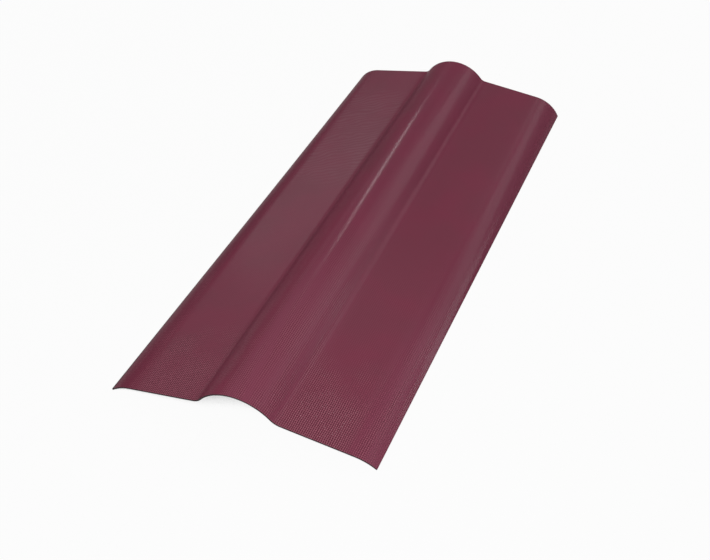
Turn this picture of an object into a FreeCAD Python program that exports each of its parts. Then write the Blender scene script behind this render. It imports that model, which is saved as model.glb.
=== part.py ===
import FreeCAD, Part
import enum
import math
import os

import Sketcher

# Roof ridge cap: one pressed sheet with a round crest, two flat sloping wings and turned-down lips.
#
# The sheet has one developed width from end to end. At its wide end the crest is rounder and the lips
# are more open, at its narrow end both are tighter, so that each cap's wide end laps over the next.
# X runs across the cap, Y along the ridge from the wide end to the narrow one, and Z is up.
# The origin is on the floor, midway between the ends, below the crest.

SHEET_NAME = "Sizes"
NODE_NAME = "ridge_cap"
PARTS_FOLDER = "parts"

# A face that strays no more than this from a plane, in millimetres, counts as flat.
FLAT_TOLERANCE = 1e-5

# Driving dimensions: millimetres, and degrees for the angles. All radii are on the top skin.
SIZES = {
    "length": 1000.0,
    "thickness": 3.0,
    "developed_width": 520.0,
    "wing_slope": 8.5,
    "wide_crest_radius": 86.0,
    "wide_flank_angle": 49.0,
    "wide_foot_radius": 25.0,
    "wide_lip_radius": 78.0,
    "wide_lip_turn": 30.0,
    "narrow_crest_radius": 71.0,
    "narrow_flank_angle": 55.0,
    "narrow_foot_radius": 15.0,
    "narrow_lip_radius": 61.0,
    "narrow_lip_turn": 61.0,
}

# The places on a piece of sketch geometry, and a sketch's own axes, as a sketch numbers them.
Spot = enum.IntEnum("Spot", ("START", "END", "CENTRE"))
Axis = enum.IntEnum("Axis", {"HORIZONTAL": -1, "VERTICAL": -2})

# The pieces of the half section, in the order in which its sketch holds them.
PIECES = (
    "CREST_TOP",
    "FOOT_TOP",
    "WING_TOP",
    "LIP_TOP",
    "LIP_EDGE",
    "LIP_BACK",
    "WING_BACK",
    "FOOT_BACK",
    "CREST_BACK",
    "CROWN",
)
Piece = enum.IntEnum("Piece", PIECES, start=0)


def fill_sheet(doc):
    """Put the driving dimensions in a spreadsheet, one named cell each."""
    sheet = doc.addObject("Spreadsheet::Sheet", SHEET_NAME)
    for row, (name, value) in enumerate(SIZES.items(), start=1):
        sheet.set(f"A{row}", name)
        sheet.set(f"B{row}", str(value))
        sheet.setAlias(f"B{row}", name)
    doc.recompute()
    return sheet


def origin_plane(body, role):
    """The plane of the body's own origin that has this role."""
    return next(plane for plane in body.Origin.OriginFeatures if plane.Role == role)


def cell(name):
    """A sheet cell as it is written in an expression."""
    return f"{SHEET_NAME}.{name}"


def wing_width_rule(end):
    """The flat width of a wing: what the bends of this end leave of half the developed width."""
    flank = cell(f"{end}_flank_angle")
    crest = f"{cell(f'{end}_crest_radius')} * {flank}"
    foot = f"{cell(f'{end}_foot_radius')} * ({flank} - {cell('wing_slope')})"
    lip = f"{cell(f'{end}_lip_radius')} * {cell(f'{end}_lip_turn')}"
    return f"{cell('developed_width')} / 2 - ({crest} + {foot} + {lip}) * pi / 180"


def polar(centre, radius, angle):
    """The point at this angle, counted in radians from +X, on a circle in the sketch's plane."""
    return centre + FreeCAD.Vector(radius * math.cos(angle), radius * math.sin(angle), 0)


def arc(centre, radius, start_angle, end_angle):
    """A counter-clockwise arc in the sketch's plane."""
    circle = Part.Circle(centre, FreeCAD.Vector(0, 0, 1), radius)
    return Part.ArcOfCircle(circle, start_angle, end_angle)


def half_section(sheet, end):
    """The half section's geometry, worked out from the sheet, with its free edge on the floor."""
    thickness = sheet.thickness
    crest_radius = getattr(sheet, f"{end}_crest_radius")
    foot_radius = getattr(sheet, f"{end}_foot_radius")
    lip_radius = getattr(sheet, f"{end}_lip_radius")
    slope = math.radians(sheet.wing_slope)
    flank = math.radians(getattr(sheet, f"{end}_flank_angle"))
    lip_end = slope + math.radians(getattr(sheet, f"{end}_lip_turn"))
    bends = crest_radius * flank + foot_radius * (flank - slope) + lip_radius * (lip_end - slope)
    wing_width = sheet.developed_width / 2 - bends

    # Directions square to the sheet where the flank, the wing and the lip end.
    quarter, half = math.pi / 2, math.pi
    up_flank, up_wing, up_edge = quarter - flank, quarter - slope, quarter - lip_end

    crest = FreeCAD.Vector(0, 0, 0)
    foot = polar(crest, crest_radius + foot_radius, up_flank)
    wing_start = polar(foot, foot_radius, up_wing + half)
    wing_end = polar(wing_start, wing_width, -slope)
    lip = polar(wing_end, lip_radius, up_wing + half)
    lowest = polar(lip, lip_radius - thickness, up_edge)
    for point in (crest, foot, wing_start, wing_end, lip):
        point.y -= lowest.y
    back_start = polar(wing_start, thickness, up_wing + half)
    back_end = polar(wing_end, thickness, up_wing + half)
    edge_top = polar(lip, lip_radius, up_edge)
    edge_back = polar(lip, lip_radius - thickness, up_edge)
    crown_top = polar(crest, crest_radius, quarter)
    crown_back = polar(crest, crest_radius - thickness, quarter)

    pieces = {
        Piece.CREST_TOP: arc(crest, crest_radius, up_flank, quarter),
        Piece.FOOT_TOP: arc(foot, foot_radius, up_flank + half, up_wing + half),
        Piece.WING_TOP: Part.LineSegment(wing_start, wing_end),
        Piece.LIP_TOP: arc(lip, lip_radius, up_edge, up_wing),
        Piece.LIP_EDGE: Part.LineSegment(edge_top, edge_back),
        Piece.LIP_BACK: arc(lip, lip_radius - thickness, up_edge, up_wing),
        Piece.WING_BACK: Part.LineSegment(back_start, back_end),
        Piece.FOOT_BACK: arc(foot, foot_radius + thickness, up_flank + half, up_wing + half),
        Piece.CREST_BACK: arc(crest, crest_radius - thickness, up_flank, quarter),
        Piece.CROWN: Part.LineSegment(crown_back, crown_top),
    }
    return [pieces[piece] for piece in Piece]


def add_joints(sketch):
    """Join the half section's pieces: smooth along both skins, square at the edge, on the floor."""
    rules = [
        # The top skin runs smoothly from the crown to the free edge.
        ("PointOnObject", Piece.CREST_TOP, Spot.CENTRE, Axis.VERTICAL),
        ("PointOnObject", Piece.CREST_TOP, Spot.END, Axis.VERTICAL),
        ("Tangent", Piece.CREST_TOP, Spot.START, Piece.FOOT_TOP, Spot.START),
        ("Tangent", Piece.FOOT_TOP, Spot.END, Piece.WING_TOP, Spot.START),
        ("Tangent", Piece.WING_TOP, Spot.END, Piece.LIP_TOP, Spot.END),
        # The free edge is cut square to the sheet, and its lower corner stands on the floor.
        ("Coincident", Piece.LIP_EDGE, Spot.START, Piece.LIP_TOP, Spot.START),
        ("PointOnObject", Piece.LIP_TOP, Spot.CENTRE, Piece.LIP_EDGE),
        ("Coincident", Piece.LIP_BACK, Spot.START, Piece.LIP_EDGE, Spot.END),
        ("PointOnObject", Piece.LIP_BACK, Spot.START, Axis.HORIZONTAL),
        # The underside follows the top skin at one thickness.
        ("Coincident", Piece.LIP_BACK, Spot.CENTRE, Piece.LIP_TOP, Spot.CENTRE),
        ("Coincident", Piece.FOOT_BACK, Spot.CENTRE, Piece.FOOT_TOP, Spot.CENTRE),
        ("Coincident", Piece.CREST_BACK, Spot.CENTRE, Piece.CREST_TOP, Spot.CENTRE),
        ("Tangent", Piece.LIP_BACK, Spot.END, Piece.WING_BACK, Spot.END),
        ("Tangent", Piece.WING_BACK, Spot.START, Piece.FOOT_BACK, Spot.END),
        ("Tangent", Piece.FOOT_BACK, Spot.START, Piece.CREST_BACK, Spot.START),
        ("Parallel", Piece.WING_BACK, Piece.WING_TOP),
        ("PointOnObject", Piece.CREST_BACK, Spot.END, Axis.VERTICAL),
        # The cut on the plane of symmetry closes the section.
        ("Coincident", Piece.CROWN, Spot.START, Piece.CREST_BACK, Spot.END),
        ("Coincident", Piece.CROWN, Spot.END, Piece.CREST_TOP, Spot.END),
    ]
    for rule in rules:
        sketch.addConstraint(Sketcher.Constraint(*rule))


def add_sizes(sketch, geometry, end):
    """Bind the half section's sizes to the sheet."""
    flank, slope, turn = f"{end}_flank_angle", "wing_slope", f"{end}_lip_turn"
    sizes = [
        ("Radius", Piece.CREST_TOP, geometry[Piece.CREST_TOP].Radius, cell(f"{end}_crest_radius")),
        ("Angle", Piece.CREST_TOP, math.radians(SIZES[flank]), cell(flank)),
        ("Radius", Piece.FOOT_TOP, geometry[Piece.FOOT_TOP].Radius, cell(f"{end}_foot_radius")),
        ("Angle", Piece.WING_TOP, -math.radians(SIZES[slope]), f"-{cell(slope)}"),
        ("Distance", Piece.WING_TOP, geometry[Piece.WING_TOP].length(), wing_width_rule(end)),
        ("Radius", Piece.LIP_TOP, geometry[Piece.LIP_TOP].Radius, cell(f"{end}_lip_radius")),
        ("Angle", Piece.LIP_TOP, math.radians(SIZES[turn]), cell(turn)),
        ("Distance", Piece.LIP_EDGE, geometry[Piece.LIP_EDGE].length(), cell("thickness")),
    ]
    for kind, piece, value, rule in sizes:
        index = sketch.addConstraint(Sketcher.Constraint(kind, piece, value))
        sketch.setExpression(f"Constraints[{index}]", rule)


def section_sketch(body, sheet, end, place_rule):
    """A sketch of the half section, square to the ridge at this end of the cap."""
    sketch = body.newObject("Sketcher::SketchObject", f"{end.title()}Section")
    sketch.AttachmentSupport = (origin_plane(body, "XZ_Plane"), "")
    sketch.MapMode = "FlatFace"
    sketch.setExpression("AttachmentOffset.Base.z", place_rule)
    geometry = half_section(sheet, end)
    sketch.addGeometry(geometry, False)
    add_joints(sketch)
    add_sizes(sketch, geometry, end)
    return sketch


def pressed_sheet(doc, sheet):
    """The pressed sheet: one half drawn out straight between the end sections, and its mirror image."""
    body = doc.addObject("PartDesign::Body", "PressedSheet")
    # The XZ plane faces -Y, so a positive offset puts the wide end at -Y.
    wide = section_sketch(body, sheet, "wide", f"{cell('length')} / 2")
    narrow = section_sketch(body, sheet, "narrow", f"-{cell('length')} / 2")
    doc.recompute()

    half = body.newObject("PartDesign::AdditiveLoft", "HalfSheet")
    half.Profile = (wide, [""])
    half.Sections = [(narrow, [""])]
    half.Ruled = True
    doc.recompute()

    whole = body.newObject("PartDesign::Mirrored", "WholeSheet")
    whole.Originals = [half]
    whole.MirrorPlane = (origin_plane(body, "YZ_Plane"), [""])
    body.Tip = whole
    doc.recompute()
    return body


def on_true_plane(face):
    """A flat face as a plane, where the loft has left it a spline surface, and any other face as it is."""
    plane = face.findPlane(FLAT_TOLERANCE)
    if plane is None:
        return face
    return Part.Face(plane, face.OuterWire)


def ridge_cap(doc, body):
    """The finished cap: the pressed sheet, with the flat wings as planes that other parts can seat on."""
    cap = doc.addObject("Part::Feature", "RidgeCap")
    cap.Label = NODE_NAME
    cap.Shape = Part.Solid(Part.Shell([on_true_plane(face) for face in body.Shape.Faces]))
    cap.Placement = body.Placement
    return cap


def check(doc, body, cap):
    """Stop if anything in the document failed, or the cap isn't one sound solid of the pressed shape."""
    failed = [thing.Name for thing in doc.Objects if {"Invalid", "Error"} & set(thing.State)]
    if failed:
        raise RuntimeError(f"these objects failed: {failed}")
    sketches = doc.findObjects("Sketcher::SketchObject")
    loose = [sketch.Name for sketch in sketches if not sketch.FullyConstrained]
    if loose:
        raise RuntimeError(f"these sketches aren't fully constrained: {loose}")
    for thing in (body, cap):
        shape = thing.Shape
        if shape.isNull() or not shape.isValid() or len(shape.Solids) != 1:
            raise RuntimeError(f"{thing.Label} isn't one valid solid")
    if not math.isclose(cap.Shape.Volume, body.Shape.Volume, rel_tol=1e-6):
        raise RuntimeError(f"{cap.Label} isn't as large as {body.Label}")


def main():
    """Build the cap and write its STEP file."""
    doc = FreeCAD.newDocument("RidgeCapDocument")
    sheet = fill_sheet(doc)
    body = pressed_sheet(doc, sheet)
    cap = ridge_cap(doc, body)
    doc.recompute()
    check(doc, body, cap)
    os.makedirs(PARTS_FOLDER, exist_ok=True)
    cap.Shape.exportStep(os.path.join(PARTS_FOLDER, f"{cap.Label}.step"))
    box = cap.Shape.BoundBox
    print(f"{cap.Label}: {box.XLength:.1f} x {box.YLength:.1f} x {box.ZLength:.1f} mm", end=", ")
    print(f"lowest {box.ZMin:.3f} mm, volume {cap.Shape.Volume / 1000:.1f} cm3")


main()
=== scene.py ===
import logging
import math
from dataclasses import dataclass
from enum import Enum
from typing import Any

import bmesh
import bpy
from mathutils import Matrix, Vector, noise


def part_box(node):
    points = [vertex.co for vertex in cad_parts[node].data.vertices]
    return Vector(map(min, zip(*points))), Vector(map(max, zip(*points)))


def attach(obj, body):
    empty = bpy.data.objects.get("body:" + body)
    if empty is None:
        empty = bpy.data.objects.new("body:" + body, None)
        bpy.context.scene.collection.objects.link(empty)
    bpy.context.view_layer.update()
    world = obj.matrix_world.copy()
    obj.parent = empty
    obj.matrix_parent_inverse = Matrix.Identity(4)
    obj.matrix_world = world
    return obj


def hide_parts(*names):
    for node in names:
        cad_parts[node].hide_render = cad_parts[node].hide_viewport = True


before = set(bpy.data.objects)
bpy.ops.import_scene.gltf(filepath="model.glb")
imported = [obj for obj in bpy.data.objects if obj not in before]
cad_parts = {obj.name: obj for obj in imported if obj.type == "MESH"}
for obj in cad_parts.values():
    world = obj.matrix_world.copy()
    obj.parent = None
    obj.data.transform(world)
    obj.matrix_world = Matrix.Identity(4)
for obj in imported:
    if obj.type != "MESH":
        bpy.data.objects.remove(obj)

LOG = logging.getLogger("ridge_cap")
CAP_NODE = "ridge_cap"
CAP_BODY = "root"
DEVELOPED_MAP = "developed"
MILLIMETRE = 0.001
RIGHT_ANGLE = 90
MERGE_DISTANCE = 1e-6
INWARDS = -1.0
CLOUD_MIDDLE = 0.5
CLOUD_CORE = (0.35, 0.65)
CLOUD_BODY = (0.3, 0.7)
CLOUD_MOST = (0.25, 0.75)
CLOUD_WHOLE = (0.2, 0.8)

Colour = tuple[float, float, float]
Node = bpy.types.Node
Socket = bpy.types.NodeSocket


class Skin(Enum):
    """The surfaces of the sheet, numbered as its material slots are."""

    TOP = 0
    UNDERSIDE = 1
    CUT_EDGE = 2


class MathStep(Enum):
    """The steps of arithmetic that the finishes use."""

    ADD = "ADD"
    SUBTRACT = "SUBTRACT"
    MULTIPLY = "MULTIPLY"
    SINE = "SINE"
    ABSOLUTE = "ABSOLUTE"
    MAXIMUM = "MAXIMUM"


class NodeDesk:
    """Lays out and joins the nodes of one material or of the world."""

    def __init__(self, tree: bpy.types.NodeTree) -> None:
        """Start with an empty tree."""
        self.tree = tree
        tree.nodes.clear()

    def add(self, kind: str, **settings: Any) -> Node:
        """Add a node and set it up.

        Args:
            kind: Blender's name of the node type.
            **settings: Properties of the node, by name.

        Returns:
            The new node.
        """
        node = self.tree.nodes.new(kind)
        for name, value in settings.items():
            setattr(node, name, value)
        return node

    def feed(self, target: Socket, value: Socket | float | Colour) -> None:
        """Join a socket to another one, or set it to a constant.

        Args:
            target: The input to feed.
            value: An output to join it to, or a number or colour.
        """
        if isinstance(value, bpy.types.NodeSocket):
            self.tree.links.new(value, target)
        elif isinstance(value, tuple):
            target.default_value = (*value, 1.0)
        else:
            target.default_value = value

    def math(self, step: MathStep, first: Socket | float, second: Socket | float = 0.0) -> Socket:
        """Work out one step of arithmetic.

        Args:
            step: What to do with the two values.
            first: The first value.
            second: The second value, where the step takes one.

        Returns:
            The result.
        """
        node = self.add("ShaderNodeMath", operation=step.value)
        self.feed(node.inputs[0], first)
        self.feed(node.inputs[1], second)
        return node.outputs[0]

    def stretch(self, value: Socket, low: float, high: float, to_low: float, to_high: float) -> Socket:
        """Carry one range of values over to another, and hold it there.

        Args:
            value: The value to carry over.
            low: Where the old range starts.
            high: Where the old range ends.
            to_low: Where the new range starts.
            to_high: Where the new range ends.

        Returns:
            The value in its new range.
        """
        node = self.add("ShaderNodeMapRange", interpolation_type="SMOOTHSTEP")
        for socket, number in zip(node.inputs, (value, low, high, to_low, to_high)):
            self.feed(socket, number)
        return node.outputs[0]

    def cloud(self, where: Socket, grain: float, detail: float = 2.0) -> Socket:
        """A cloudy pattern between 0 and 1.

        Args:
            where: The coordinates that it follows, in metres.
            grain: The size of its patches, in metres.
            detail: How many finer layers it has.

        Returns:
            The pattern.
        """
        node = self.add("ShaderNodeTexNoise")
        self.feed(node.inputs["Vector"], where)
        self.feed(node.inputs["Scale"], 1.0 / grain)
        self.feed(node.inputs["Detail"], detail)
        return node.outputs["Fac"]

    def blend(self, share: Socket, first: Socket | Colour, second: Socket | Colour) -> Socket:
        """Mix two colours.

        Args:
            share: How much of the second colour shows.
            first: The first colour.
            second: The second colour.

        Returns:
            The mixed colour.
        """
        node = self.add("ShaderNodeMix", data_type="RGBA")
        self.feed(node.inputs["Factor"], share)
        self.feed(node.inputs["A"], first)
        self.feed(node.inputs["B"], second)
        return node.outputs["Result"]

    def relief(self, height: Socket, depth: float, below: Socket | None = None) -> Socket:
        """Turn heights into a bumpy normal.

        Args:
            height: The height, from 0 to 1.
            depth: What a height of 1 measures, in metres.
            below: The normal of a coarser relief under this one.

        Returns:
            The normal.
        """
        node = self.add("ShaderNodeBump")
        self.feed(node.inputs["Height"], height)
        self.feed(node.inputs["Distance"], depth)
        if below is not None:
            self.feed(node.inputs["Normal"], below)
        return node.outputs["Normal"]


@dataclass(frozen=True)
class PaintedFibre:
    """The painted top skin: burgundy, with the fine dotted ribs of the wire screen that formed it."""

    name: str = "burgundy_fibre"
    colour: Colour = (0.172, 0.026, 0.0535)
    dull_colour: Colour = (0.157, 0.028, 0.052)
    mottle_grain: float = 90 * MILLIMETRE
    # Colours of the screen marks: a painted highlight on their rims and painted shade in their pits.
    rim_highlight_colour: Colour = (0.300, 0.092, 0.128)
    pit_shade_colour: Colour = (0.072, 0.006, 0.018)
    rim_highlight_share: float = 0.85
    pit_shade_share: float = 0.75
    roughness: float = 0.55
    roughness_play: float = 0.05
    gloss: float = 0.03
    coat_flat: float = 0.35
    coat_bent: float = 0.10
    coat_steep: float = 0.02
    coat_roughness: float = 0.15
    flank_border: float = 47 * MILLIMETRE
    foot_border: float = 66 * MILLIMETRE
    flank_shift: float = 9.5 * MILLIMETRE
    crest_border: float = 84 * MILLIMETRE
    lip_border: float = 206 * MILLIMETRE
    border_fade: float = 8 * MILLIMETRE
    # Painted shade: both turned-down lips are coloured darker.
    lip_shade_colour: Colour = (0.145, 0.0215, 0.045)
    lip_fade: float = 20 * MILLIMETRE
    # Painted sheen: a paler film on the bends right of the crown and on the right lip, fading towards the
    # narrow end.
    sheen_colour: Colour = (0.188, 0.042, 0.073)
    sheen_from: float = 200 * MILLIMETRE
    sheen_to: float = 400 * MILLIMETRE
    sheen_far: float = 0.4
    sheen_left: float = -28 * MILLIMETRE
    sheen_right: float = -4 * MILLIMETRE
    # Painted shade: a dark strip along the outer edge of the left lip only, where the coat is also taken
    # off.
    edge_shade_colour: Colour = (0.055, 0.026, 0.031)
    edge_shade_from: float = 253 * MILLIMETRE
    edge_shade_to: float = 258 * MILLIMETRE
    rib_pitch: float = 3.45 * MILLIMETRE
    dot_pitch: float = 3.9 * MILLIMETRE
    rib_depth: float = 0.12 * MILLIMETRE
    coat_rib_depth: float = 0.15 * MILLIMETRE
    rib_wander: float = 0.5 * MILLIMETRE
    wander_grain: float = 22 * MILLIMETRE
    break_grain: float = 3.2 * MILLIMETRE
    rib_break: float = 1.4
    dot_share: float = 0.55
    mark_foot: float = -0.9
    mark_top: float = 1.5
    strip_grain: float = 16 * MILLIMETRE
    strip_stretch: float = 0.12
    strip_low: float = 0.2
    strip_high: float = 0.75
    marks_fade: float = 22 * MILLIMETRE
    faint_marks: float = 0.15
    wide_end: float = -500 * MILLIMETRE
    marks_start: float = 50 * MILLIMETRE
    marks_end: float = 190 * MILLIMETRE
    marks_drift: float = 45 * MILLIMETRE
    bent_nearness: float = 0.4
    patch_grain: float = 60 * MILLIMETRE
    ripple_pitch: float = 11 * MILLIMETRE
    ripple_slant: float = -0.44
    ripple_wander: float = 7 * MILLIMETRE
    ripple_grain: float = 45 * MILLIMETRE
    # Painted sheen: pale waves in the colour of the left wing.
    sheen_ripple_colour: Colour = (0.192, 0.056, 0.082)
    sheen_ripple_share: float = 0.65
    ripple_start: float = 100 * MILLIMETRE
    ripple_end: float = 415 * MILLIMETRE
    ripple_fade: float = 50 * MILLIMETRE
    ripple_detail: float = 1.0
    ripple_thin: float = 0.35
    ripple_full: float = 0.6
    ripple_least: float = 0.4
    speck_grain: float = 4 * MILLIMETRE
    speck_depth: float = 0.1 * MILLIMETRE
    fibre_grain: float = 1.1 * MILLIMETRE
    fibre_depth: float = 0.02 * MILLIMETRE

    def wave(self, desk: NodeDesk, along: Socket, pitch: float) -> Socket:
        """An even wave of this pitch, from -1 to 1.

        Args:
            desk: The desk of the material.
            along: The coordinate that the wave runs along, in metres.
            pitch: The length of a wave, in metres.

        Returns:
            The wave.
        """
        turns = desk.math(MathStep.MULTIPLY, along, math.tau / pitch)
        return desk.math(MathStep.SINE, turns)

    def screen_marks(self, desk: NodeDesk, developed: Socket, place: Node) -> Socket:
        """The marks of the wire screen: ribs along the ridge, cut into dots and a little broken.

        Args:
            desk: The desk of the material.
            developed: Coordinates on the flat sheet, in metres.
            place: The same coordinates, split.

        Returns:
            The height of the marks, from 0 to 1.
        """
        drift = desk.cloud(developed, self.wander_grain)
        shift = desk.stretch(drift, *CLOUD_BODY, -self.rib_wander, self.rib_wander)
        across = desk.math(MathStep.ADD, place.outputs["X"], shift)
        ribs = self.wave(desk, across, self.rib_pitch)
        dots = self.wave(desk, place.outputs["Y"], self.dot_pitch)
        both = desk.math(MathStep.ADD, ribs, desk.math(MathStep.MULTIPLY, dots, self.dot_share))
        grit = desk.math(MathStep.SUBTRACT, desk.cloud(developed, self.break_grain), CLOUD_MIDDLE)
        broken = desk.math(MathStep.ADD, both, desk.math(MathStep.MULTIPLY, grit, self.rib_break))
        return desk.stretch(broken, self.mark_foot, self.mark_top, 0.0, 1.0)

    def between(self, desk: NodeDesk, out: Socket, start: float, end: float, fade: float) -> Socket:
        """A soft-edged strip of the sheet: 1 inside, 0 outside.

        Args:
            desk: The desk of the material.
            out: The distance or coordinate that the strip is measured by, in metres.
            start: Where the strip starts.
            end: Where it ends.
            fade: Half the width of its soft edges.

        Returns:
            How far inside the strip a point is.
        """
        past_start = desk.stretch(out, start - fade, start + fade, 0.0, 1.0)
        before_end = desk.stretch(out, end - fade, end + fade, 1.0, 0.0)
        return desk.math(MathStep.MULTIPLY, past_start, before_end)

    def mark_strength(self, desk: NodeDesk, developed: Socket, place: Node, flat: Socket) -> Socket:
        """How clearly the marks show: best near the wide end, whole on the wings, in strips on the bends.

        Args:
            desk: The desk of the material.
            developed: Coordinates on the flat sheet, in metres.
            place: The same coordinates, split.
            flat: Where the sheet is flat.

        Returns:
            The strength of the marks, from 0 to 1.
        """
        patches = desk.cloud(developed, self.patch_grain)
        drift = desk.stretch(patches, *CLOUD_MOST, -self.marks_drift, self.marks_drift)
        from_end = desk.math(MathStep.SUBTRACT, place.outputs["Y"], self.wide_end)
        nearness = desk.stretch(flat, 0.0, 1.0, self.bent_nearness, 1.0)
        along = desk.math(MathStep.MULTIPLY, desk.math(MathStep.ADD, from_end, drift), nearness)
        left = desk.stretch(along, self.marks_start, self.marks_end, 1.0, self.faint_marks)
        drawn_out = desk.add("ShaderNodeCombineXYZ")
        desk.feed(drawn_out.inputs["X"], place.outputs["X"])
        shortened = desk.math(MathStep.MULTIPLY, place.outputs["Y"], self.strip_stretch)
        desk.feed(drawn_out.inputs["Y"], shortened)
        strips = desk.cloud(drawn_out.outputs[0], self.strip_grain)
        kept = desk.stretch(strips, *CLOUD_CORE, self.strip_low, self.strip_high)
        return desk.math(MathStep.MULTIPLY, left, desk.math(MathStep.MAXIMUM, kept, flat))

    def painted_sheen(self, desk: NodeDesk, place: Node, flat: Socket) -> Socket:
        """A painted sheen: a paler film on the bends from the crown to the right lip, stronger near the wide
        end.

        Args:
            desk: The desk of the material.
            place: Coordinates on the flat sheet, split, in metres.
            flat: Where the sheet is flat.

        Returns:
            How strong the painted sheen is, from 0 to 1.
        """
        from_end = desk.math(MathStep.SUBTRACT, place.outputs["Y"], self.wide_end)
        near = desk.stretch(from_end, self.sheen_from, self.sheen_to, 1.0, self.sheen_far)
        right = desk.stretch(place.outputs["X"], self.sheen_left, self.sheen_right, 0.0, 1.0)
        bent = desk.math(MathStep.SUBTRACT, 1.0, flat)
        return desk.math(MathStep.MULTIPLY, desk.math(MathStep.MULTIPLY, near, right), bent)

    def sheen_ripples(self, desk: NodeDesk, developed: Socket, place: Node, flat: Socket) -> Socket:
        """Painted sheen: faint pale waves across the left wing, towards the narrow end.

        Args:
            desk: The desk of the material.
            developed: Coordinates on the flat sheet, in metres.
            place: The same coordinates, split.
            flat: Where the sheet is flat.

        Returns:
            How pale the waves are, from 0 to 1.
        """
        drift = desk.cloud(developed, self.ripple_grain, self.ripple_detail)
        shift = desk.stretch(drift, *CLOUD_WHOLE, -self.ripple_wander, self.ripple_wander)
        slant = desk.math(MathStep.MULTIPLY, place.outputs["X"], self.ripple_slant)
        along = desk.math(MathStep.ADD, place.outputs["Y"], desk.math(MathStep.ADD, slant, shift))
        waves = desk.stretch(self.wave(desk, along, self.ripple_pitch), -1.0, 1.0, 0.0, self.sheen_ripple_share)
        left = desk.stretch(place.outputs["X"], -self.crest_border, 0.0, 1.0, 0.0)
        reach = self.between(desk, place.outputs["Y"], self.ripple_start, self.ripple_end, self.ripple_fade)
        shown = desk.math(MathStep.MULTIPLY, reach, left)
        patches = desk.cloud(developed, self.patch_grain)
        patchy = desk.stretch(patches, self.ripple_thin, self.ripple_full, self.ripple_least, 1.0)
        shown = desk.math(MathStep.MULTIPLY, desk.math(MathStep.MULTIPLY, shown, patchy), flat)
        return desk.math(MathStep.MULTIPLY, waves, shown)

    def paint(self, desk: NodeDesk, marks: Socket, strength: Socket, plain: Socket) -> Socket:
        """The colour of the paint, with a painted highlight on the rims of the marks and painted shade in
        their pits.

        Args:
            desk: The desk of the material.
            marks: The height of the screen marks.
            strength: How clearly they show.
            plain: The colour where there are no marks.

        Returns:
            The colour.
        """
        # Painted shade in the pits of the marks and a painted highlight on their rims.
        depth = desk.math(MathStep.SUBTRACT, 1.0, marks)
        pit_shade = desk.math(MathStep.MULTIPLY, desk.math(MathStep.MULTIPLY, depth, strength), self.pit_shade_share)
        rim_highlight = desk.math(MathStep.MULTIPLY, desk.math(MathStep.MULTIPLY, marks, strength), self.rim_highlight_share)
        return desk.blend(rim_highlight, desk.blend(pit_shade, plain, self.pit_shade_colour), self.rim_highlight_colour)

    def material(self) -> bpy.types.Material:
        """Make the material.

        Returns:
            The finished material.
        """
        material = bpy.data.materials.new(self.name)
        material.use_nodes = True
        desk = NodeDesk(material.node_tree)
        developed = desk.add("ShaderNodeUVMap", uv_map=DEVELOPED_MAP).outputs["UV"]
        solid = desk.add("ShaderNodeTexCoord").outputs["Object"]
        place = desk.add("ShaderNodeSeparateXYZ")
        desk.feed(place.inputs[0], developed)
        out = desk.math(MathStep.ABSOLUTE, place.outputs["X"])

        flat = self.between(desk, out, self.crest_border, self.lip_border, self.border_fade)
        shifted = desk.math(MathStep.SUBTRACT, place.outputs["X"], self.flank_shift)
        beside = desk.math(MathStep.ABSOLUTE, shifted)
        steep = self.between(desk, beside, self.flank_border, self.foot_border, self.border_fade)
        even = self.between(desk, out, self.crest_border, self.lip_border, self.marks_fade)
        marks = self.screen_marks(desk, developed, place)
        strength = self.mark_strength(desk, developed, place, even)
        shown = desk.math(MathStep.MULTIPLY, marks, strength)
        fibres = desk.cloud(solid, self.fibre_grain)
        mottle = desk.stretch(desk.cloud(solid, self.mottle_grain), *CLOUD_CORE, 0.0, 1.0)
        # Painted shade along the outer edge of the left lip; the rest of the sheet keeps its coat.
        edge_shade = desk.stretch(place.outputs["X"], -self.edge_shade_to, -self.edge_shade_from, 1.0, 0.0)
        whole = desk.math(MathStep.SUBTRACT, 1.0, edge_shade)
        coat = desk.stretch(flat, 0.0, 1.0, self.coat_bent, self.coat_flat)
        bare = desk.math(MathStep.MULTIPLY, steep, desk.math(MathStep.SUBTRACT, 1.0, strength))
        thinned = desk.math(MathStep.MULTIPLY, bare, self.coat_bent - self.coat_steep)
        coat = desk.math(MathStep.SUBTRACT, coat, thinned)
        specks = desk.cloud(solid, self.speck_grain)
        low, high = self.roughness - self.roughness_play, self.roughness + self.roughness_play

        shader = desk.add("ShaderNodeBsdfPrincipled")
        plain = desk.blend(mottle, self.colour, self.dull_colour)
        # Painted shade on both lips.
        lips = desk.stretch(out, self.lip_border, self.lip_border + self.lip_fade, 0.0, 1.0)
        plain = desk.blend(lips, plain, self.lip_shade_colour)
        # Painted sheen on the bends from the crown to the right lip.
        plain = desk.blend(self.painted_sheen(desk, place, even), plain, self.sheen_colour)
        # Painted sheen in waves on the left wing.
        plain = desk.blend(self.sheen_ripples(desk, developed, place, flat), plain, self.sheen_ripple_colour)
        paint = self.paint(desk, marks, strength, plain)
        desk.feed(shader.inputs["Base Color"], desk.blend(edge_shade, paint, self.edge_shade_colour))
        desk.feed(shader.inputs["Roughness"], desk.stretch(fibres, *CLOUD_BODY, low, high))
        desk.feed(shader.inputs["Specular IOR Level"], self.gloss)
        desk.feed(shader.inputs["Coat Weight"], desk.math(MathStep.MULTIPLY, whole, coat))
        desk.feed(shader.inputs["Coat Roughness"], self.coat_roughness)
        ribbed = desk.relief(shown, self.rib_depth)
        desk.feed(shader.inputs["Normal"], desk.relief(fibres, self.fibre_depth, ribbed))
        specked = desk.relief(specks, self.speck_depth)
        desk.feed(shader.inputs["Coat Normal"], desk.relief(shown, self.coat_rib_depth, specked))
        output = desk.add("ShaderNodeOutputMaterial")
        desk.feed(output.inputs["Surface"], shader.outputs["BSDF"])
        return material


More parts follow.
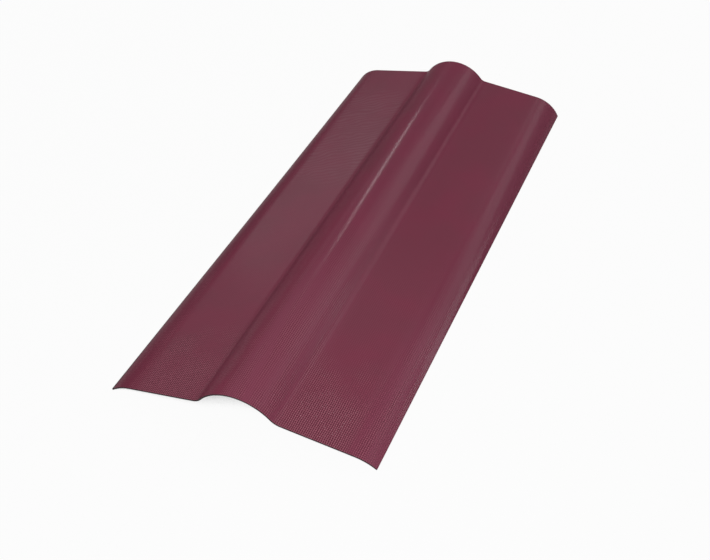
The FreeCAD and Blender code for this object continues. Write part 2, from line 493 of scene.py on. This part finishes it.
@dataclass(frozen=True)
class BareFibre:
    """Bitumen fibre without paint, as on the underside and on the cut edges."""

    name: str
    colour: Colour
    pale_colour: Colour
    grain: float
    depth: float
    roughness: float
    detail: float = 5.0
    speckle_low: float = 0.42
    speckle_high: float = 0.72

    def material(self) -> bpy.types.Material:
        """Make the material.

        Returns:
            The finished material.
        """
        material = bpy.data.materials.new(self.name)
        material.use_nodes = True
        desk = NodeDesk(material.node_tree)
        solid = desk.add("ShaderNodeTexCoord").outputs["Object"]
        fibres = desk.cloud(solid, self.grain, self.detail)
        shader = desk.add("ShaderNodeBsdfPrincipled")
        speckle = desk.stretch(fibres, self.speckle_low, self.speckle_high, 0.0, 1.0)
        desk.feed(shader.inputs["Base Color"], desk.blend(speckle, self.colour, self.pale_colour))
        desk.feed(shader.inputs["Roughness"], self.roughness)
        desk.feed(shader.inputs["Normal"], desk.relief(fibres, self.depth))
        output = desk.add("ShaderNodeOutputMaterial")
        desk.feed(output.inputs["Surface"], shader.outputs["BSDF"])
        return material


UNDERSIDE_FIBRE = BareFibre(
    name="bare_underside",
    colour=(0.020, 0.012, 0.012),
    pale_colour=(0.045, 0.024, 0.024),
    grain=4 * MILLIMETRE,
    depth=0.15 * MILLIMETRE,
    roughness=0.8,
)
EDGE_FIBRE = BareFibre(
    name="cut_edge",
    colour=(0.022, 0.009, 0.012),
    pale_colour=(0.060, 0.025, 0.030),
    grain=1.5 * MILLIMETRE,
    depth=0.1 * MILLIMETRE,
    roughness=0.75,
)


@dataclass
class SectionPen:
    """Draws the top line of half a section as a chain of vertices, from the crown outwards.

    The heading is the angle, in radians, by which the line slopes down from level.
    """

    mesh: bmesh.types.BMesh
    across: bmesh.types.BMLayerItem
    tip: bmesh.types.BMVert
    heading: float = 0.0
    drawn: float = 0.0

    def square(self) -> Vector:
        """The direction square to the line, away from the sheet's top skin."""
        return Vector((math.sin(self.heading), 0.0, math.cos(self.heading)))

    def step(self, length: float) -> None:
        """Add the next vertex where the tip is now.

        Args:
            length: How far along the sheet it will be from the last one, in metres.
        """
        self.tip = bmesh.ops.extrude_vert_indiv(self.mesh, verts=[self.tip])["verts"][0]
        self.drawn += length
        self.tip[self.across] = self.drawn

    def bend(self, radius: float, turn: float, steps: int) -> None:
        """Draw a bend.

        Args:
            radius: The radius on the top skin, in metres.
            turn: How far the line turns down, or up where it is negative, in radians.
            steps: How many vertices the bend has.
        """
        centre = self.tip.co - math.copysign(radius, turn) * self.square()
        turned = Matrix.Rotation(turn / steps, 3, "Y")
        for _ in range(steps):
            self.step(radius * abs(turn) / steps)
            bmesh.ops.rotate(self.mesh, cent=centre, matrix=turned, verts=[self.tip])
        self.heading += turn

    def run(self, length: float, steps: int) -> None:
        """Draw a straight stretch.

        Args:
            length: Its length, in metres.
            steps: How many vertices it has.
        """
        ahead = Vector((math.cos(self.heading), 0.0, -math.sin(self.heading)))
        for _ in range(steps):
            self.step(length / steps)
            bmesh.ops.translate(self.mesh, vec=ahead * (length / steps), verts=[self.tip])


@dataclass(frozen=True)
class EndSection:
    """The bends of the sheet at one end of the cap, with radii on the top skin, in metres and degrees."""

    crest_radius: float
    flank_angle: float
    foot_radius: float
    lip_radius: float
    lip_turn: float


@dataclass
class RidgeCap:
    """The cap: one sheet pressed to a round crest, two sloping wings and turned-down lips."""

    name: str = "pressed_sheet"
    thickness: float = 3 * MILLIMETRE
    developed_width: float = 520 * MILLIMETRE
    wing_slope: float = 8.5
    wide_end: EndSection = EndSection(
        crest_radius=86 * MILLIMETRE,
        flank_angle=49,
        foot_radius=25 * MILLIMETRE,
        lip_radius=78 * MILLIMETRE,
        lip_turn=30,
    )
    narrow_end: EndSection = EndSection(
        crest_radius=71 * MILLIMETRE,
        flank_angle=55,
        foot_radius=15 * MILLIMETRE,
        lip_radius=61 * MILLIMETRE,
        lip_turn=61,
    )
    crest_steps: int = 20
    foot_steps: int = 10
    wing_steps: int = 22
    lip_steps: int = 14
    rows: int = 80
    edge_rounding: float = 0.5 * MILLIMETRE
    rounding_segments: int = 2
    rounding_angle: float = 50
    ripple: float = 0.25 * MILLIMETRE
    ripple_grain: float = 120 * MILLIMETRE
    still_edge: float = 30 * MILLIMETRE

    def draw_half(self, mesh: bmesh.types.BMesh, across: Any, end: EndSection, place: float) -> None:
        """Draw half of an end section, with its free edge on the floor.

        Args:
            mesh: The mesh to draw in.
            across: The layer that keeps each vertex's distance from the crown, along the sheet.
            end: The bends of this end.
            place: Where the end is along the ridge, in metres.
        """
        slope = math.radians(self.wing_slope)
        flank = math.radians(end.flank_angle)
        turn = math.radians(end.lip_turn)
        bends = end.crest_radius * flank + end.foot_radius * (flank - slope) + end.lip_radius * turn
        known = set(mesh.verts)
        pen = SectionPen(mesh, across, mesh.verts.new((0.0, place, 0.0)))
        pen.bend(end.crest_radius, flank, self.crest_steps)
        pen.bend(end.foot_radius, slope - flank, self.foot_steps)
        pen.run(self.developed_width / 2 - bends, self.wing_steps)
        pen.bend(end.lip_radius, turn, self.lip_steps)
        lowest = pen.tip.co - self.thickness * pen.square()
        drawn = [vert for vert in mesh.verts if vert not in known]
        bmesh.ops.translate(mesh, vec=(0.0, 0.0, -lowest.z), verts=drawn)

    def press(self) -> bmesh.types.BMesh:
        """Shape the top skin of the sheet.

        Returns:
            The mesh of the top skin.
        """
        low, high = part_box(CAP_NODE)
        mesh = bmesh.new()
        across = mesh.verts.layers.float.new("across")
        self.draw_half(mesh, across, self.wide_end, low.y)
        self.draw_half(mesh, across, self.narrow_end, high.y)
        half = [*mesh.verts, *mesh.edges]
        bmesh.ops.mirror(mesh, geom=half, matrix=Matrix.Identity(4), axis="X", merge_dist=MERGE_DISTANCE)
        for vert in mesh.verts:
            vert[across] = math.copysign(vert[across], vert.co.x)
        ends = set(mesh.edges)
        bmesh.ops.bridge_loops(mesh, edges=list(ends))
        rulings = [edge for edge in mesh.edges if edge not in ends]
        bmesh.ops.subdivide_edges(mesh, edges=rulings, cuts=self.rows - 1, use_grid_fill=True)
        bmesh.ops.recalc_face_normals(mesh, faces=mesh.faces)
        if sum(face.normal.z for face in mesh.faces) < 0:
            bmesh.ops.reverse_faces(mesh, faces=mesh.faces)
        self.map_flat(mesh, across)
        self.warp(mesh, across)
        return mesh

    def map_flat(self, mesh: bmesh.types.BMesh, across: Any) -> None:
        """Lay the skin out flat in its own map, in metres.

        Args:
            mesh: The mesh of the top skin.
            across: The layer with each vertex's distance from the crown.
        """
        flat = mesh.loops.layers.uv.new(DEVELOPED_MAP)
        for face in mesh.faces:
            for loop in face.loops:
                loop[flat].uv = (loop.vert[across], loop.vert.co.y)

    def warp(self, mesh: bmesh.types.BMesh, across: Any) -> None:
        """Give the sheet the slight ripple that pressed fibre has, still at its free edges.

        Args:
            mesh: The mesh of the top skin.
            across: The layer with each vertex's distance from the crown.
        """
        mesh.normal_update()
        for vert in mesh.verts:
            from_edge = self.developed_width / 2 - abs(vert[across])
            share = min(1.0, from_edge / self.still_edge)
            vert.co += vert.normal * share * self.ripple * noise.noise(vert.co / self.ripple_grain)

    def build(self) -> bpy.types.Object:
        """Make the sheet with its thickness and rounded cut edges, dressed in its finishes.

        Returns:
            The finished piece.
        """
        mesh = self.press()
        for face in mesh.faces:
            face.smooth = True
        data = bpy.data.meshes.new(self.name)
        mesh.to_mesh(data)
        mesh.free()
        finishes = {Skin.TOP: PaintedFibre(), Skin.UNDERSIDE: UNDERSIDE_FIBRE, Skin.CUT_EDGE: EDGE_FIBRE}
        for skin in Skin:
            data.materials.append(finishes[skin].material())
        piece = bpy.data.objects.new(self.name, data)
        bpy.context.scene.collection.objects.link(piece)

        wall = piece.modifiers.new("wall", "SOLIDIFY")
        wall.thickness = self.thickness
        wall.offset = INWARDS
        wall.use_even_offset = True
        wall.material_offset = Skin.UNDERSIDE.value
        wall.material_offset_rim = Skin.CUT_EDGE.value
        rounding = piece.modifiers.new("rounding", "BEVEL")
        rounding.width = self.edge_rounding
        rounding.segments = self.rounding_segments
        rounding.limit_method = "ANGLE"
        rounding.angle_limit = math.radians(self.rounding_angle)
        rounding.harden_normals = True
        return piece


@dataclass(frozen=True)
class Lamp:
    """A soft lamp, placed by its direction from the middle of the cap.

    Directions are in degrees: azimuth from +Y towards +X, and elevation above the floor.
    """

    name: str
    azimuth: float
    elevation: float
    distance: float
    width: float
    height: float
    watts: float

    def hang(self, target: Vector) -> None:
        """Hang the lamp and turn it to the cap.

        Args:
            target: The point that it faces.
        """
        azimuth, elevation = math.radians(self.azimuth), math.radians(self.elevation)
        level = math.cos(elevation)
        towards = Vector((math.sin(azimuth) * level, math.cos(azimuth) * level, math.sin(elevation)))
        light = bpy.data.lights.new(self.name, "AREA")
        light.shape = "RECTANGLE"
        light.size = self.width
        light.size_y = self.height
        light.energy = self.watts
        lamp = bpy.data.objects.new(self.name, light)
        lamp.location = target + towards * self.distance
        lamp.rotation_euler = towards.to_track_quat("Z", "Y").to_euler()
        lamp.visible_camera = False
        bpy.context.scene.collection.objects.link(lamp)


@dataclass(frozen=True)
class Camera:
    """The camera, where the photograph was taken from. Angles are in degrees."""

    place: Vector = Vector((0.76006, -1.47376, 1.38328))
    azimuth: float = -28.1301
    elevation: float = 41.8719
    roll: float = -6.0122
    lens: float = 57.676
    sensor: float = 36.0

    def set_up(self) -> None:
        """Make the camera and give it to the scene."""
        data = bpy.data.cameras.new("camera")
        data.lens = self.lens
        data.sensor_width = self.sensor
        camera = bpy.data.objects.new("camera", data)
        turned = Matrix.Rotation(-math.radians(self.azimuth), 4, "Z")
        tilted = Matrix.Rotation(math.radians(RIGHT_ANGLE - self.elevation), 4, "X")
        rolled = Matrix.Rotation(math.radians(self.roll), 4, "Z")
        camera.matrix_world = Matrix.Translation(self.place) @ turned @ tilted @ rolled
        bpy.context.scene.collection.objects.link(camera)
        bpy.context.scene.camera = camera


@dataclass
class Studio:
    """The pale floor, the soft room light and the lamps round the cap."""

    floor_radius: float = 60.0
    floor_segments: int = 64
    floor_colour: Colour = (0.35, 0.35, 0.35)
    floor_glow: float = 0.96
    shade_reach: float = 0.2
    shade_dark: float = 0.02
    shade_open: float = 0.2
    room_level: float = 0.34
    room_lean: Vector = Vector((-0.24, 0.10, 0.0))
    target: Vector = Vector((0.0, 0.0, 0.05))
    lamps: tuple[Lamp, ...] = (
        Lamp("key", azimuth=160, elevation=42, distance=1.5, width=0.5, height=0.5, watts=9.8),
        Lamp("window", azimuth=30, elevation=33, distance=4.0, width=3.4, height=2.4, watts=14.6),
        Lamp("window_core", azimuth=31, elevation=33, distance=4.0, width=1.8, height=1.2, watts=25.5),
        Lamp("window_top", azimuth=32, elevation=48, distance=4.0, width=2.4, height=1.0, watts=11.6),
        Lamp("low_window", azimuth=50, elevation=17, distance=4.0, width=0.9, height=1.2, watts=24),
        Lamp("overhead", azimuth=0, elevation=61, distance=3.0, width=3.0, height=1.2, watts=3.5),
        Lamp("strip", azimuth=-28, elevation=37.2, distance=3.5, width=0.18, height=0.98, watts=13.8),
        Lamp("side", azimuth=-41, elevation=29, distance=4.0, width=1.1, height=0.5, watts=1.7),
        Lamp("side_near", azimuth=-54, elevation=33, distance=4.0, width=0.8, height=0.6, watts=0.46),
    )

    def floor(self) -> None:
        """Make the floor: white to look at, and shaded to grey under the cap."""
        mesh = bmesh.new()
        bmesh.ops.create_circle(mesh, cap_ends=True, segments=self.floor_segments, radius=self.floor_radius)
        data = bpy.data.meshes.new("floor")
        mesh.to_mesh(data)
        mesh.free()
        material = bpy.data.materials.new("white_floor")
        material.use_nodes = True
        desk = NodeDesk(material.node_tree)
        path = desk.add("ShaderNodeLightPath")
        seen = desk.math(MathStep.MAXIMUM, path.outputs["Is Camera Ray"], path.outputs["Is Glossy Ray"])
        seen = desk.math(MathStep.MAXIMUM, seen, path.outputs["Is Transmission Ray"])
        matte = desk.add("ShaderNodeBsdfDiffuse")
        desk.feed(matte.inputs["Color"], self.floor_colour)
        glow = desk.add("ShaderNodeEmission")
        mix = desk.add("ShaderNodeMixShader")
        cover = desk.add("ShaderNodeAmbientOcclusion")
        desk.feed(cover.inputs["Distance"], self.shade_reach)
        bright = desk.stretch(cover.outputs["AO"], self.shade_dark, self.shade_open, 0.0, self.floor_glow)
        desk.feed(mix.inputs[0], desk.math(MathStep.MULTIPLY, seen, bright))
        desk.feed(mix.inputs[1], matte.outputs[0])
        desk.feed(mix.inputs[2], glow.outputs[0])
        output = desk.add("ShaderNodeOutputMaterial")
        desk.feed(output.inputs["Surface"], mix.outputs[0])
        data.materials.append(material)
        floor = bpy.data.objects.new("floor", data)
        bpy.context.scene.collection.objects.link(floor)

    def room(self) -> None:
        """Fill the room with soft light, which leans to its brighter side."""
        world = bpy.data.worlds.new("room")
        bpy.context.scene.world = world
        world.use_nodes = True
        desk = NodeDesk(world.node_tree)
        towards = desk.add("ShaderNodeSeparateXYZ")
        desk.feed(towards.inputs[0], desk.add("ShaderNodeTexCoord").outputs["Generated"])
        level = self.room_level
        for axis, lean in zip("XYZ", self.room_lean):
            level = desk.math(MathStep.ADD, desk.math(MathStep.MULTIPLY, towards.outputs[axis], lean), level)
        background = desk.add("ShaderNodeBackground")
        desk.feed(background.inputs["Strength"], level)
        output = desk.add("ShaderNodeOutputWorld")
        desk.feed(output.inputs["Surface"], background.outputs[0])

    def set_up(self) -> None:
        """Make the floor, the room and the lamps."""
        self.floor()
        self.room()
        for lamp in self.lamps:
            lamp.hang(self.target)
            LOG.info("lamp %s: %.1f W", lamp.name, lamp.watts)


def main() -> None:
    """Build the cap and its studio."""
    logging.basicConfig(level=logging.INFO, format="%(name)s: %(message)s")
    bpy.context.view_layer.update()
    bpy.context.scene.view_settings.view_transform = "Standard"

    sheet = RidgeCap().build()
    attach(sheet, CAP_BODY)
    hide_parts(CAP_NODE)
    LOG.info("piece %s: %d faces before its modifiers", sheet.name, len(sheet.data.polygons))

    Studio().set_up()
    Camera().set_up()

    bpy.context.view_layer.update()


if __name__ == "__main__":
    main()
